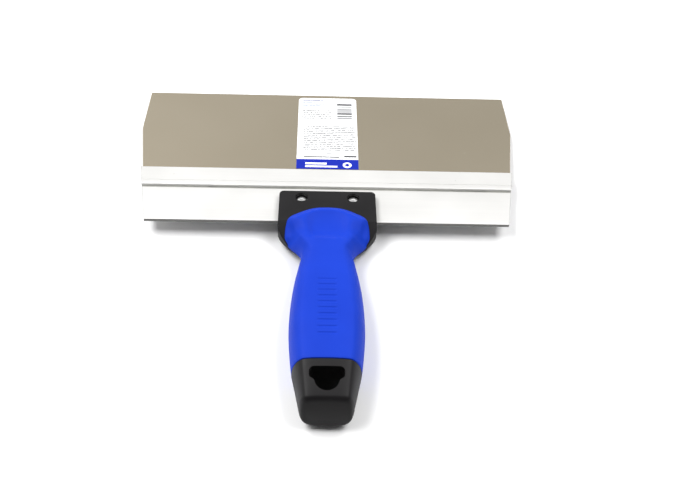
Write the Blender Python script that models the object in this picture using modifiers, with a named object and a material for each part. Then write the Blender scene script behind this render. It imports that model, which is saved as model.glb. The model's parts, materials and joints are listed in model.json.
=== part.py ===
"""Wide flexible putty knife: steel blade, aluminium clamp rail, two-material handle.

Frame: metres, +Z up, +Y from the handle towards the working edge, +X across the
blade. The knife lies as it does on a table: its working edge and its butt rest on
z = 0. The origin is below the middle of the whole tool.
"""
import math

import bmesh
import bpy

MM = 0.001
GAP = 0.3

# whole tool, in millimetres
TOTAL_LENGTH = 277.0
EDGE_Y = TOTAL_LENGTH / 2
BLADE_TILT_DEG = 4.5
BLADE_THICK = 0.5

# blade outline, measured back from the working edge along the blade
EDGE_HALF = 125.2
EAR_HALF = 125.4
EAR_LENGTH = 43.4
MOUTH_HALF = 119.0
FREE_LENGTH = 87.0
TUCKED_LENGTH = 11.5
TUCKED_HALF = 117.4

# rail profile, measured back from the rail's front lip and up from the blade
RAIL_FRONT_HALF = 120.1
RAIL_TAPER = 0.176
RAIL_DEPTH = 50.6
RAIL_BOTTOM = -1.75
WEB_TOP = 0.45
SLOT_HALF = BLADE_THICK / 2 + GAP
SLOT_DEPTH = TUCKED_LENGTH + 2 * GAP
JAW_LIP_TOP = 1.25
JAW_CREST = 2.2
BAND_START = 14.4
STEP_AT = 18.8
GROOVE_WIDTH = 0.9

# head of the handle, measured back from the working edge
HEAD_FRONT = 112.3
HEAD_HALF = 29.85
HEAD_CORNER_R = 3.0
FLANGE_TOP = 4.4
HEAD_BOTTOM_FRONT = 5.2
HEAD_BOTTOM_REAR = 4.5
HEAD_REAR = 160.4
HEAD_REAR_TOP = 6.2
SHOULDER_TOP_AT = 141.0
SHOULDER_LOW_AT = 156.5
HEAD_EDGE_R = 0.9
SHOULDER = (
    (144.0, 29.85),
    (147.6, 28.5),
    (151.2, 26.1),
    (154.5, 23.4),
    (157.7, 19.6),
    (160.4, 16.7),
)

# rivets
RIVET_X = 16.0
RIVET_BACK = 119.1
RIVET_SHANK_R = 2.0
RIVET_HEAD_R = 3.4
COUNTERBORE_R = 3.85
SEAT_TOP = 1.4
SEAT_BOTTOM = -2.65
RIVET_DOME = 0.55
RIVET_TAIL = 1.0

# grip and butt sections: distance back from the working edge, half width,
# height of the widest line, top, bottom, half width of the flat crown,
# squareness above and below
GRIP_SECTIONS = (
    (122.0, 27.0, 14.4, 16.6, 8.0, 0.0, 4.6, 3.0),
    (130.0, 27.0, 14.6, 17.7, 8.0, 0.0, 4.6, 3.0),
    (134.0, 26.4, 14.7, 18.4, 8.0, 6.0, 4.0, 3.0),
    (138.0, 25.2, 14.6, 19.0, 8.0, 17.0, 2.2, 3.0),
    (141.0, 25.0, 14.4, 19.4, 7.4, 19.0, 1.5, 3.0),
    (145.0, 25.8, 12.9, 19.9, 6.4, 18.4, 1.1, 3.0),
    (148.0, 26.05, 11.1, 20.3, 5.6, 16.8, 1.1, 2.8),
    (151.0, 25.8, 9.5, 20.7, 5.2, 15.2, 1.1, 2.6),
    (154.0, 24.0, 8.1, 21.1, 4.9, 13.7, 1.1, 2.5),
    (157.0, 21.9, 7.9, 21.4, 4.8, 12.2, 1.2, 2.5),
    (160.0, 19.1, 8.3, 21.7, 4.6, 10.8, 1.35, 2.5),
    (163.0, 17.0, 9.1, 22.0, 4.5, 9.2, 1.55, 2.5),
    (166.0, 15.7, 10.2, 22.4, 4.4, 7.2, 1.75, 2.5),
    (169.0, 15.3, 11.3, 22.8, 4.2, 6.0, 1.95, 2.5),
    (173.0, 15.9, 12.0, 23.2, 3.9, 5.6, 2.05, 2.5),
    (180.0, 17.1, 12.4, 24.0, 3.3, 6.2, 2.1, 2.5),
    (190.0, 18.7, 12.8, 25.1, 2.4, 7.6, 2.1, 2.5),
    (200.0, 19.85, 13.1, 26.1, 1.7, 8.6, 2.1, 2.6),
    (212.0, 20.65, 13.3, 26.9, 1.1, 9.3, 2.1, 2.6),
    (225.0, 20.85, 13.0, 27.2, 0.7, 9.7, 2.1, 2.7),
    (238.0, 20.05, 12.2, 26.9, 0.5, 9.6, 2.05, 2.8),
    (250.0, 18.65, 11.2, 26.1, 0.3, 9.3, 2.0, 2.9),
    (258.0, 17.0, 10.8, 24.9, 0.1, 9.0, 2.1, 2.8),
    (266.0, 15.4, 10.4, 23.45, 0.0, 8.6, 2.2, 2.6),
    (270.0, 14.6, 10.2, 22.5, 0.0, 8.4, 2.3, 2.5),
)
# the butt's end, where the section leans back as it closes
BUTT_END = (
    (272.0, 14.15, 10.2, 21.65, 0.3, 8.25, 2.3, 2.6, 0.11),
    (273.7, 13.6, 10.2, 20.4, 1.2, 8.0, 2.3, 2.6, 0.2),
    (274.75, 13.1, 10.2, 19.3, 2.4, 7.8, 2.3, 2.65, 0.245),
    (275.3, 12.5, 10.2, 18.3, 3.6, 7.5, 2.3, 2.7, 0.26),
    (275.5, 11.9, 10.2, 17.4, 4.8, 7.1, 2.3, 2.7, 0.262),
)
CROWN_EASE = 0.42
COLLAR_EASE = 0.12
COLLAR_MIDDLE = 150.0
COLLAR_REACH = (8.0, 18.0)
JOINT_BACK = 249.8
WALL = 3.1
COLLAR_OUTLINE = (
    (0.0, 129.9),
    (6.0, 130.3),
    (12.0, 131.7),
    (18.4, 134.7),
    (22.0, 136.9),
    (23.3, 138.6),
    (24.3, 141.0),
    (25.3, 143.8),
    (25.95, 147.0),
    (26.2, 152.0),
)
DISH_BACK = 151.6
DISH_R = 17.8
DISH_SLOPE = 0.48
DISH_BEND = 0.0165
DISH_BANK = 15.0
DISH_HALF = (8.0, 17.0)
DISH_FADE = (151.0, 162.0)
RIM_SLOPE = 0.55
RIM_FOOT = 1.4
RIM_FOOT_SIDE = 0.1
RIM_HALF = (4.0, 24.0)
SCOOP_X = 19.5
SCOOP_BACK = 149.5
SCOOP_REACH = 9.5
SCOOP_DEPTH = 2.8
SCOOP_HALF = (21.5, 26.0)
SPINE_FRONT = 146.0
SPINE_REAR = 251.5

# hang hole in the butt
HOLE_FRONT = 254.5
HOLE_STEP = 261.3
HOLE_HALF = 9.3
HOLE_CORNER_R = 2.6
NOTCH_R = 6.5
NOTCH_FILLET = 1.6

# label film on the blade
LABEL_FRONT = 3.4
LABEL_REAR = 85.4
LABEL_HALF = 20.3
LABEL_CORNER_R = 3.0
LABEL_THICK = 0.2
LABEL_GAP = 0.2

RING_STEPS = 48
OUTLINE_STEPS = 480


def collection(name, hidden=False):
    made = bpy.data.collections.new(name)
    made.hide_render = hidden
    bpy.context.scene.collection.children.link(made)
    return made


def material(name, colour, roughness, metallic=0.0):
    made = bpy.data.materials.new(name)
    made.use_nodes = True
    shader = made.node_tree.nodes["Principled BSDF"]
    shader.inputs["Base Color"].default_value = (*colour, 1.0)
    shader.inputs["Roughness"].default_value = roughness
    shader.inputs["Metallic"].default_value = metallic
    return made


def mesh_object(name, verts, faces, where, paint=None):
    mesh = bpy.data.meshes.new(name)
    mesh.from_pydata([tuple(c * MM for c in v) for v in verts], [], faces)
    mesh.update()
    body = bmesh.new()
    body.from_mesh(mesh)
    bmesh.ops.recalc_face_normals(body, faces=body.faces[:])
    body.to_mesh(mesh)
    body.free()
    made = bpy.data.objects.new(name, mesh)
    where.objects.link(made)
    if paint:
        mesh.materials.append(paint)
    return made


def prism(name, outline, low, high, where, paint=None):
    """A straight prism: outline of (x, y) points, from low to high in z."""
    n = len(outline)
    verts = [(x, y, low) for x, y in outline] + [(x, y, high) for x, y in outline]
    faces = [tuple(range(n)), tuple(range(2 * n - 1, n - 1, -1))]
    faces += [(k, (k + 1) % n, n + (k + 1) % n, n + k) for k in range(n)]
    return mesh_object(name, verts, faces, where, paint)


def side_prism(name, outline, half, where):
    """A prism across the tool: outline of (y, z) points, from -half to half in x."""
    n = len(outline)
    verts = [(-half, y, z) for y, z in outline] + [(half, y, z) for y, z in outline]
    faces = [tuple(range(n)), tuple(range(2 * n - 1, n - 1, -1))]
    faces += [(k, (k + 1) % n, n + (k + 1) % n, n + k) for k in range(n)]
    return mesh_object(name, verts, faces, where)


def boolean(target, cutter, operation="DIFFERENCE"):
    cut = target.modifiers.new(operation.lower(), "BOOLEAN")
    cut.operation = operation
    cut.solver = "EXACT"
    cut.object = cutter
    cutter.display_type = "WIRE"
    cutter.hide_render = True
    return cut


def bake(target):
    """Turn the modifiers so far into plain mesh, so later ones start clean."""
    graph = bpy.context.evaluated_depsgraph_get()
    graph.update()
    fresh = bpy.data.meshes.new_from_object(target.evaluated_get(graph))
    target.modifiers.clear()
    old = target.data
    target.data = fresh
    fresh.name = target.name
    bpy.data.meshes.remove(old)


def bevel(target, width, segments=2, angle_deg=30.0):
    edge = target.modifiers.new("edges", "BEVEL")
    edge.width = width * MM
    edge.segments = segments
    edge.limit_method = "ANGLE"
    edge.angle_limit = math.radians(angle_deg)
    return edge


def smooth(target, angle_deg=35.0):
    target.data.shade_smooth()
    target.data.set_sharp_from_angle(angle=math.radians(angle_deg))


def arc(cx, cy, r, start_deg, end_deg, steps):
    return [
        (
            cx + r * math.cos(math.radians(start_deg + (end_deg - start_deg) * k / steps)),
            cy + r * math.sin(math.radians(start_deg + (end_deg - start_deg) * k / steps)),
        )
        for k in range(steps + 1)
    ]


def mirrored(right_side):
    """A closed outline from its right half, listed from front to back."""
    left_side = [(-x, y) for x, y in reversed(right_side) if abs(x) > 1e-6]
    return right_side + left_side


def curve_through(rows, back):
    """Every column of the section table at one distance back, eased between rows."""
    rows = list(rows)
    if back <= rows[0][0]:
        return rows[0][1:]
    if back >= rows[-1][0]:
        return rows[-1][1:]
    k = max(i for i in range(len(rows) - 1) if rows[i][0] <= back)
    a, b = rows[k], rows[k + 1]
    before = rows[k - 1] if k else a
    after = rows[k + 2] if k + 2 < len(rows) else b
    span = b[0] - a[0]
    u = (back - a[0]) / span
    out = []
    for c in range(1, len(a)):
        m0 = (b[c] - before[c]) / max(b[0] - before[0], 1e-9) * span
        m1 = (after[c] - a[c]) / max(after[0] - a[0], 1e-9) * span
        out.append(
            a[c] * (2 * u**3 - 3 * u**2 + 1)
            + m0 * (u**3 - 2 * u**2 + u)
            + b[c] * (3 * u**2 - 2 * u**3)
            + m1 * (u**3 - u**2)
        )
    return out


def eased_step(value):
    value = min(max(value, 0.0), 1.0)
    return value * value * (3.0 - 2.0 * value)


def thumb_rest(x, back):
    """Depth of the round thumb rest in the collar's crown."""
    inside = min(max(DISH_R - math.hypot(x, back - DISH_BACK), 0.0), DISH_BANK)
    depth = DISH_SLOPE * inside - DISH_BEND * inside**2
    return depth * fade(abs(x), *DISH_HALF) * fade(back, *DISH_FADE)


def finger_scoop(x, back):
    """Depth of the hollow in each flank of the collar."""
    away = math.hypot(abs(x) - SCOOP_X, back - SCOOP_BACK)
    return SCOOP_DEPTH * fade(away, 0.0, SCOOP_REACH) * fade(abs(x), *SCOOP_HALF)


def rim_facet(x, back):
    """Height of the sloped facet that rises behind the collar's front edge."""
    edge = outline_back(abs(x))
    foot = RIM_FOOT_SIDE + RIM_FOOT * fade(abs(x), *RIM_HALF)
    return plane_height(edge) + FLANGE_TOP + foot + RIM_SLOPE * (back - edge)


def fade(value, start, end):
    return 1.0 - eased_step((value - start) / (end - start))


def crown_ease(back):
    """How strongly the crown is arched: more over the collar than along the grip."""
    return CROWN_EASE + COLLAR_EASE * fade(abs(back - COLLAR_MIDDLE), *COLLAR_REACH)


def evenly(outline, count):
    """A closed outline resampled to points an equal distance apart."""
    n = len(outline)
    run = [0.0]
    for k in range(n):
        (x0, z0), (x1, z1) = outline[k], outline[(k + 1) % n]
        run.append(run[-1] + math.hypot(x1 - x0, z1 - z0))
    out = []
    k = 0
    for i in range(count):
        want = run[-1] * i / count
        while run[k + 1] < want:
            k += 1
        u = (want - run[k]) / max(run[k + 1] - run[k], 1e-9)
        (x0, z0), (x1, z1) = outline[k], outline[(k + 1) % n]
        out.append((x0 + (x1 - x0) * u, z0 + (z1 - z0) * u))
    return out


def ring(back, row, inset=0.0, lean=0.0, dished=False):
    """One closed section of the handle, as points round the tool's long axis."""
    half, middle, top, bottom, flat, n_top, n_low = row
    half -= inset
    top -= inset
    bottom += inset
    ease = crown_ease(back)
    outline = []
    for k in range(OUTLINE_STEPS):
        a = 2 * math.pi * k / OUTLINE_STEPS
        c, s = math.cos(a), math.sin(a)
        n = n_top if s >= 0 else n_low
        rise = (top - middle) if s >= 0 else (middle - bottom)
        share = min(1.0, abs(c) / ease)
        crown = flat * share * (2.0 - share) if s >= 0 else 0.0
        side = (half - flat if s >= 0 else half) * abs(c) ** (2 / n)
        x = math.copysign(crown + side, c)
        outline.append((x, middle + rise * math.copysign(abs(s) ** (2 / n), s)))
    points = []
    for x, z in evenly(outline, RING_STEPS):
        if dished and z > middle:
            z -= thumb_rest(x, back) + finger_scoop(x, back)
            z = min(z, rim_facet(x, back))
        points.append((x, EDGE_Y - back + lean * (z - middle), z))
    return points


def loft(name, rings, where, paint=None):
    n = len(rings[0])
    verts = [p for r in rings for p in r]
    faces = [tuple(range(n)), tuple(range(len(verts) - 1, len(verts) - n - 1, -1))]
    for i in range(len(rings) - 1):
        for k in range(n):
            a, b = i * n + k, i * n + (k + 1) % n
            faces.append((a, b, b + n, a + n))
    return mesh_object(name, verts, faces, where, paint)


def stations(start, end, step):
    count = max(1, round((end - start) / step))
    return [start + (end - start) * k / count for k in range(count + 1)]


def plane_height(back):
    """Height of the blade's middle plane at a distance back from the edge."""
    tilt = math.radians(BLADE_TILT_DEG)
    return BLADE_THICK / 2 * math.cos(tilt) + back * math.tan(tilt)


def blade_frame(where):
    """An empty in the blade's plane, at the mouth of the rail."""
    frame = bpy.data.objects.new("blade_plane", None)
    tilt = math.radians(BLADE_TILT_DEG)
    frame.location = (
        0.0,
        (EDGE_Y - FREE_LENGTH * math.cos(tilt)) * MM,
        (BLADE_THICK / 2 * math.cos(tilt) + FREE_LENGTH * math.sin(tilt)) * MM,
    )
    frame.rotation_euler = (-tilt, 0.0, 0.0)
    where.objects.link(frame)
    return frame


def make_blade(where, paint, frame):
    right = [
        (EDGE_HALF, FREE_LENGTH),
        (EAR_HALF, FREE_LENGTH - EAR_LENGTH),
        (MOUTH_HALF, 0.0),
        (TUCKED_HALF, -TUCKED_LENGTH),
    ]
    outline = mirrored(right)
    blade = prism("blade", outline, -BLADE_THICK / 2, BLADE_THICK / 2, where, paint)
    bevel(blade, 0.12, 1, 50.0)
    blade.parent = frame
    return blade


def make_label(where, paint, frame):
    front = FREE_LENGTH - LABEL_FRONT
    r = LABEL_CORNER_R
    right = list(reversed(arc(LABEL_HALF - r, front - r, r, 0, 90, 6)))
    right.append((LABEL_HALF, FREE_LENGTH - LABEL_REAR))
    low = BLADE_THICK / 2 + LABEL_GAP
    label = prism("label", mirrored(right), low, low + LABEL_THICK, where, paint)
    label.parent = frame
    return label


def rail_profile():
    """The rail's section as (distance back from its lip, height above the blade)."""
    return [
        (0.0, SLOT_HALF),
        (0.0, JAW_LIP_TOP - 0.35),
        (0.35, JAW_LIP_TOP),
        (BAND_START - 0.45, JAW_CREST - 0.15),
        (BAND_START - 0.1, JAW_CREST - 0.4),
        (BAND_START + 0.25, JAW_CREST),
        (STEP_AT - 0.4, JAW_CREST + 0.05),
        (STEP_AT, JAW_CREST - 0.3),
        (STEP_AT, WEB_TOP - 0.5),
        (STEP_AT + GROOVE_WIDTH, WEB_TOP - 0.5),
        (STEP_AT + GROOVE_WIDTH + 0.1, WEB_TOP),
        (RAIL_DEPTH - 0.3, WEB_TOP),
        (RAIL_DEPTH, WEB_TOP - 0.3),
        (RAIL_DEPTH, RAIL_BOTTOM + 0.3),
        (RAIL_DEPTH - 0.3, RAIL_BOTTOM),
        (0.5, RAIL_BOTTOM),
        (0.0, RAIL_BOTTOM + 0.5),
        (0.0, -SLOT_HALF),
        (SLOT_DEPTH, -SLOT_HALF),
        (SLOT_DEPTH, SLOT_HALF),
    ]


def make_rail(where, paint, frame, cutters):
    profile = rail_profile()
    n = len(profile)
    verts = []
    for side in (-1, 1):
        for back, height in profile:
            verts.append((side * (RAIL_FRONT_HALF - RAIL_TAPER * back), -back, height))
    faces = [tuple(range(n)), tuple(range(2 * n - 1, n - 1, -1))]
    faces += [(k, (k + 1) % n, n + (k + 1) % n, n + k) for k in range(n)]
    rail = mesh_object("rail", verts, faces, where, paint)
    rail.parent = frame
    for side in (-1, 1):
        hole = hole_cutter("rail_hole", side, RIVET_SHANK_R + GAP, -4.0, 4.0, cutters, frame)
        boolean(rail, hole)
    return rail


def hole_cutter(name, side, radius, low, high, where, frame):
    """A round cutter square to the blade's plane, at one rivet."""
    y = FREE_LENGTH - RIVET_BACK
    outline = arc(side * RIVET_X, y, radius, 0, 360, 28)[:-1]
    cutter = prism(name, outline, low, high, where)
    cutter.parent = frame
    cutter.hide_render = True
    cutter.display_type = "WIRE"
    return cutter


def head_outline(grow):
    """Plan outline of the head, corner to shoulders, as (x, y) points."""
    r = HEAD_CORNER_R
    front = EDGE_Y - HEAD_FRONT + grow
    half = HEAD_HALF + grow
    right = list(reversed(arc(half - r, front - r, r, 0, 90, 6)))
    rows = [(back, wide + grow) for back, wide in SHOULDER]
    for back in stations(SHOULDER[0][0], SHOULDER[-1][0], 1.6):
        right.append((curve_through(rows, back)[0], EDGE_Y - back))
    right.append((right[-1][0], right[-1][1] - 2.0 - grow))
    return mirrored(right)


def head_side(grow):
    """Side outline of the head as (y, z): flange, slanted shoulder, flat underside."""
    rise = grow / math.cos(math.radians(45.0))
    front = EDGE_Y - HEAD_FRONT + 6.0
    top_front = plane_height(HEAD_FRONT - 6.0) + FLANGE_TOP + grow
    top_rear = plane_height(SHOULDER_TOP_AT) + FLANGE_TOP + grow
    return [
        (front, HEAD_BOTTOM_FRONT - grow),
        (front, top_front),
        (EDGE_Y - SHOULDER_TOP_AT - grow * 0.4, top_rear),
        (EDGE_Y - SHOULDER_LOW_AT - grow * 0.4, HEAD_REAR_TOP + 0.3 + rise),
        (EDGE_Y - HEAD_REAR - grow, HEAD_REAR_TOP + grow),
        (EDGE_Y - HEAD_REAR - grow, HEAD_BOTTOM_REAR - grow),
    ]


def make_head(name, grow, where):
    head = prism(name, head_outline(grow), 0.0, 40.0, where)
    side = side_prism(name + "_side", head_side(grow), 60.0, where)
    boolean(head, side, "INTERSECT")
    bake(head)
    return head


def make_spine(name, inset, where):
    """The core's inner bar; in the head it stays inside the black shoulders."""
    rings = []
    for back in stations(SPINE_FRONT, SPINE_REAR, 5.0):
        half, middle, top, bottom, *_ = curve_through(GRIP_SECTIONS, back)
        half = min(half, 16.2)
        row = (half, max(middle, 11.0), top - 1.0, bottom + 0.4, 0.0, 2.2, 2.4)
        rings.append(ring(back, row, inset))
    return loft(name, rings, where)


def make_butt(where):
    start = JOINT_BACK + GAP / 2
    rings = []
    for back in stations(start, GRIP_SECTIONS[-1][0], 3.4):
        rings.append(ring(back, curve_through(GRIP_SECTIONS, back)))
    for back, *row, lean in BUTT_END:
        rings.append(ring(back, row, lean=lean))
    return loft("handle_core", rings, where)


def hang_hole(where):
    """Slot with rounded ends and a half-round notch towards the butt."""
    front = EDGE_Y - HOLE_FRONT
    step = EDGE_Y - HOLE_STEP
    r = HOLE_CORNER_R
    f = NOTCH_FILLET
    right = list(reversed(arc(HOLE_HALF - r, front - r, r, 0, 90, 5)))
    right += list(reversed(arc(HOLE_HALF - r, step + r, r, -90, 0, 5)))
    reach = math.sqrt((NOTCH_R + f) ** 2 - f**2)
    turn = math.degrees(math.atan2(f, reach))
    right += arc(reach, step - f, f, 90, 180 - turn, 3)
    right += list(reversed(arc(0.0, step, NOTCH_R, -90, -turn, 9)))
    return prism("hang_hole", mirrored(right), -5.0, 40.0, where)


def make_core(where, paint, cutters, frame):
    core = make_butt(where)
    core.data.materials.append(paint)
    spine = make_spine("spine_bar", WALL + GAP, cutters)
    head = make_head("head_block", 0.0, cutters)
    bevel(head, HEAD_EDGE_R, 2, 40.0)
    bake(head)
    boolean(core, spine, "UNION")
    boolean(core, head, "UNION")
    web_back = FREE_LENGTH + RAIL_DEPTH + GAP
    slot_outline = [
        (-40.0, FREE_LENGTH - HEAD_FRONT + 8.0),
        (40.0, FREE_LENGTH - HEAD_FRONT + 8.0),
        (40.0, FREE_LENGTH - web_back),
        (-40.0, FREE_LENGTH - web_back),
    ]
    slot = prism("web_slot", slot_outline, RAIL_BOTTOM - GAP, WEB_TOP + GAP, cutters)
    slot.parent = frame
    boolean(core, slot)
    for side in (-1, 1):
        through = hole_cutter("rivet_hole", side, RIVET_SHANK_R + GAP, -12, 12, cutters, frame)
        boolean(core, through)
        upper = hole_cutter("upper_bore", side, COUNTERBORE_R, SEAT_TOP, 12, cutters, frame)
        boolean(core, upper)
        lower = hole_cutter("lower_bore", side, COUNTERBORE_R, -12, SEAT_BOTTOM, cutters, frame)
        boolean(core, lower)
    boolean(core, hang_hole(cutters))
    bake(core)
    smooth(core)
    return core


def make_grip(where, paint, cutters):
    rings = []
    for back in stations(122.0, JOINT_BACK - GAP / 2, 3.2):
        row = curve_through(GRIP_SECTIONS, back)
        rings.append(ring(back, row, dished=True))
    grip = loft("grip", rings, where, paint)
    right = []
    for step in range(15):
        x = COLLAR_OUTLINE[-1][0] * step / 14
        right.append((x, EDGE_Y - outline_back(x)))
    right.append((COLLAR_OUTLINE[-1][0], EDGE_Y - 153.0))
    right.append((35.0, EDGE_Y - 162.0))
    right.append((35.0, EDGE_Y - 260.0))
    front = prism("collar_outline", mirrored(right), 0.0, 40.0, cutters)
    boolean(grip, front, "INTERSECT")
    boolean(grip, make_head("head_room", GAP, cutters))
    boolean(grip, make_spine("spine_room", WALL, cutters))
    bake(grip)
    smooth(grip)
    return grip


def outline_back(x):
    """Where the collar's front edge lies at a distance from the middle."""
    rows = COLLAR_OUTLINE
    for (x0, b0), (x1, b1) in zip(rows, rows[1:]):
        if x <= x1:
            return b0 + (b1 - b0) * (x - x0) / (x1 - x0)
    return rows[-1][1]


def make_rivet(name, side, where, paint, frame):
    top = SEAT_TOP + GAP
    low = SEAT_BOTTOM - GAP
    profile = [
        (0.0, top + 0.25 + RIVET_DOME),
        (RIVET_HEAD_R * 0.5, top + 0.25 + RIVET_DOME * 0.78),
        (RIVET_HEAD_R * 0.85, top + 0.25 + RIVET_DOME * 0.3),
        (RIVET_HEAD_R, top + 0.2),
        (RIVET_HEAD_R, top),
        (RIVET_SHANK_R, top),
        (RIVET_SHANK_R, low),
        (RIVET_HEAD_R - 0.3, low),
        (RIVET_HEAD_R - 0.3, low - RIVET_TAIL * 0.6),
        (RIVET_HEAD_R - 0.8, low - RIVET_TAIL),
        (0.0, low - RIVET_TAIL),
    ]
    mesh = bpy.data.meshes.new(name)
    verts = [(r * MM, 0.0, z * MM) for r, z in profile]
    mesh.from_pydata(verts, [(k, k + 1) for k in range(len(verts) - 1)], [])
    mesh.materials.append(paint)
    rivet = bpy.data.objects.new(name, mesh)
    where.objects.link(rivet)
    turn = rivet.modifiers.new("turn", "SCREW")
    turn.angle = 2 * math.pi
    turn.steps = 28
    turn.render_steps = 28
    turn.axis = "Z"
    turn.use_merge_vertices = True
    turn.merge_threshold = 0.00001
    rivet.parent = frame
    rivet.location = (side * RIVET_X * MM, (FREE_LENGTH - RIVET_BACK) * MM, 0.0)
    return rivet


def main():
    for old in list(bpy.data.objects):
        bpy.data.objects.remove(old)
    where = collection("putty_knife")
    cutters = collection("cutters", hidden=True)
    steel = material("blade_steel", (0.36, 0.33, 0.27), 0.28, 1.0)
    aluminium = material("rail_aluminium", (0.86, 0.86, 0.85), 0.38, 1.0)
    black = material("core_plastic", (0.035, 0.033, 0.036), 0.5)
    blue = material("grip_rubber", (0.016, 0.078, 0.78), 0.55)
    rivet_metal = material("rivet_metal", (0.78, 0.78, 0.78), 0.3, 1.0)
    film = material("label_film", (0.85, 0.86, 0.9), 0.4)

    frame = blade_frame(where)
    make_blade(where, steel, frame)
    make_label(where, film, frame)
    make_rail(where, aluminium, frame, cutters)
    bpy.context.view_layer.update()
    make_core(where, black, cutters, frame)
    make_grip(where, blue, cutters)
    make_rivet("rivet_left", -1, where, rivet_metal, frame)
    make_rivet("rivet_right", 1, where, rivet_metal, frame)


main()
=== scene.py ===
"""Looks of the wide flexible putty knife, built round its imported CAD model.

Millimetres in the tables below, metres in the scene. "back" is the horizontal
distance behind the working edge, "along" is measured in the blade's own plane from
the rail's mouth towards the working edge, and "rise" is square to that plane.
"""
import json
import math

import bmesh
import bpy
from mathutils import Matrix, Vector


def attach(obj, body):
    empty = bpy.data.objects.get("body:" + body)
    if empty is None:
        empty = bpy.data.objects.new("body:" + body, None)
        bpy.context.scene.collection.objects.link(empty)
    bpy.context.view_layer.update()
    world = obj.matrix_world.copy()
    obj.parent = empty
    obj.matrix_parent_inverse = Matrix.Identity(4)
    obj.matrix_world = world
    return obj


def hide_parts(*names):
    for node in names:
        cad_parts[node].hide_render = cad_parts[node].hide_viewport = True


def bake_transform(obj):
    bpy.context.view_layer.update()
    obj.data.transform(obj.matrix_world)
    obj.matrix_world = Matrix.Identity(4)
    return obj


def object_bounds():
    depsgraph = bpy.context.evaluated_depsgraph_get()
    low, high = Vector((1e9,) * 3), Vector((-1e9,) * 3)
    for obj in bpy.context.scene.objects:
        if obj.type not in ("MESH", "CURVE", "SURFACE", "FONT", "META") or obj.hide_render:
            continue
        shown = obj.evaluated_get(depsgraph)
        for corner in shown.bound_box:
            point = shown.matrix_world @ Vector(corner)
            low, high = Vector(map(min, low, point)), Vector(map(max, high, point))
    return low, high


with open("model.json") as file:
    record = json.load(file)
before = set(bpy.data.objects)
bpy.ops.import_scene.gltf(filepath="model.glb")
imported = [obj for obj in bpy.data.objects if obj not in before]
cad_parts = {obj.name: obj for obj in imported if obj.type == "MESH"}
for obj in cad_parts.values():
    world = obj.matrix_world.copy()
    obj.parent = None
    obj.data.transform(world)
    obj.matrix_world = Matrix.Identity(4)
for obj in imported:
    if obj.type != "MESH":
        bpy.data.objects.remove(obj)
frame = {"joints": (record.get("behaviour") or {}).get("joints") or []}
CAD_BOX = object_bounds()

MM = 0.001
EDGE_Y = CAD_BOX[1].y / MM
MOUTH = Vector(frame["joints"][0]["pos_m"]) / MM
TILT = math.radians(4.5)

# blade and label
BLADE_HALF_THICK = 0.25
FREE_LENGTH = 87.0
TUCKED_LENGTH = 11.5
TUCKED_MIDDLE = 6.0
EAR_AT = 43.6
BLADE_OUTLINE = (  # along, half width
    (-TUCKED_LENGTH, 117.4),
    (0.0, 119.0),
    (EAR_AT, 125.4),
    (FREE_LENGTH, 125.2),
)
BLADE_CHAMFER = 0.12
BLADE_ACROSS = 24
BLADE_STEP = 1.7
LABEL_NEAR = 1.6
LABEL_FAR = 83.6
LABEL_HALF = 20.3
LABEL_CORNER = 3.0
LABEL_LOW = 0.27
LABEL_THICK = 0.14
LABEL_CHAMFER = 0.04
LABEL_ACROSS = 20
LABEL_STEP = 2.0
CORNER_TURNS = (12, 24, 36, 48, 58, 67, 75, 82, 87, 90)
SIDE_CHAMFER = 0.2
SHEET_SMOOTH = 20.0
SHEET_UNIT = 100.0  # millimetres to one unit of the sheets' maps

# rail
RAIL_FRONT_HALF = 120.1
RAIL_TAPER = 0.176
RAIL_DEPTH = 50.6
RAIL_LOW = -1.75
RAIL_MIDDLE = 0.3
RAIL_CHAMFER = 0.12
RAIL_RING_SHARE = 0.1
RAIL_SMOOTH = 30.0
WEB_TOP = 0.45
SLOT_HALF = 0.55
SLOT_EASE = 0.06
SLOT_MARGIN = 0.07
SLOT_LEAD = 0.1
SLOT_DEPTH = 12.1
LIP_TOP = 1.25
LIP_RUN = 0.9
LIP_RISE = 0.05
CREST = 2.2
FRONT_TOP = CREST - 0.2
BAND_START = 14.4
STEP_AT = 18.8
# the groove and the step wall below this height get darker metal: painted shade for the shaded
# recess
GROOVE_SHADE_TOP = 1.35
GROOVE_SHADE_MARGIN = 0.05
GROOVE_WIDTH = 1.0
REAR_MARGIN = 0.1
END_NORMAL = 0.5
# material slots of the painted shade: on the groove, and on the rail's rear and end faces
GROOVE_SHADE_SLOT = 1
CUT_EDGE_SHADE_SLOT = 2
RAIL_CUT = 4.0

# corners and groove of the rail's section: (back, rise) from each one's place
LIP_ROUND = ((0.0, -0.3), (0.1, -0.08), (0.35, 0.0), (LIP_RUN, LIP_RISE))
BAND_ROUND = (
    (-0.45, -0.18),
    (-0.25, -0.38),
    (0.0, -0.4),
    (0.2, -0.14),
    (0.4, -0.02),
    (1.4, 0.03),
)
STEP_ROUND = ((-1.2, 0.05), (-0.45, 0.02), (-0.15, -0.1), (0.0, -0.4))
GROOVE = ((0.0, -0.4), (0.1, -0.5), (0.8, -0.5), (0.95, -0.1), (1.1, 0.0))
REAR_TOP_ROUND = ((-0.4, 0.0), (-0.12, -0.12), (0.0, -0.4))
REAR_LOW_ROUND = ((0.0, 0.4), (-0.12, 0.12), (-0.4, 0.0))
MOUTH_ROUND = ((0.6, 0.0), (0.18, 0.18), (0.0, 0.6))

# its long flat stretches: (start, end, step) of the points along each
FRONT_RUN = BAND_START - 0.5
FRONT_POINTS = (1.6, BAND_START - 1.0, 1.4)
WEB_POINTS = (STEP_AT + 2.5, RAIL_DEPTH - 1.2, 2.2)
UNDER_POINTS = (RAIL_DEPTH - 3.0, 3.0, 2.5)

# punch marks: where they are, and the (radius, rise) of the cone that leaves one
PUNCH_MARKS = ((-98.0, 8.0), (82.0, 10.0))
PUNCH_CONE = ((0.02, -0.8), (0.34, -0.3), (0.62, 0.3))
PUNCH_LIFT = 0.35
PUNCH_SIDES = 24

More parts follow.
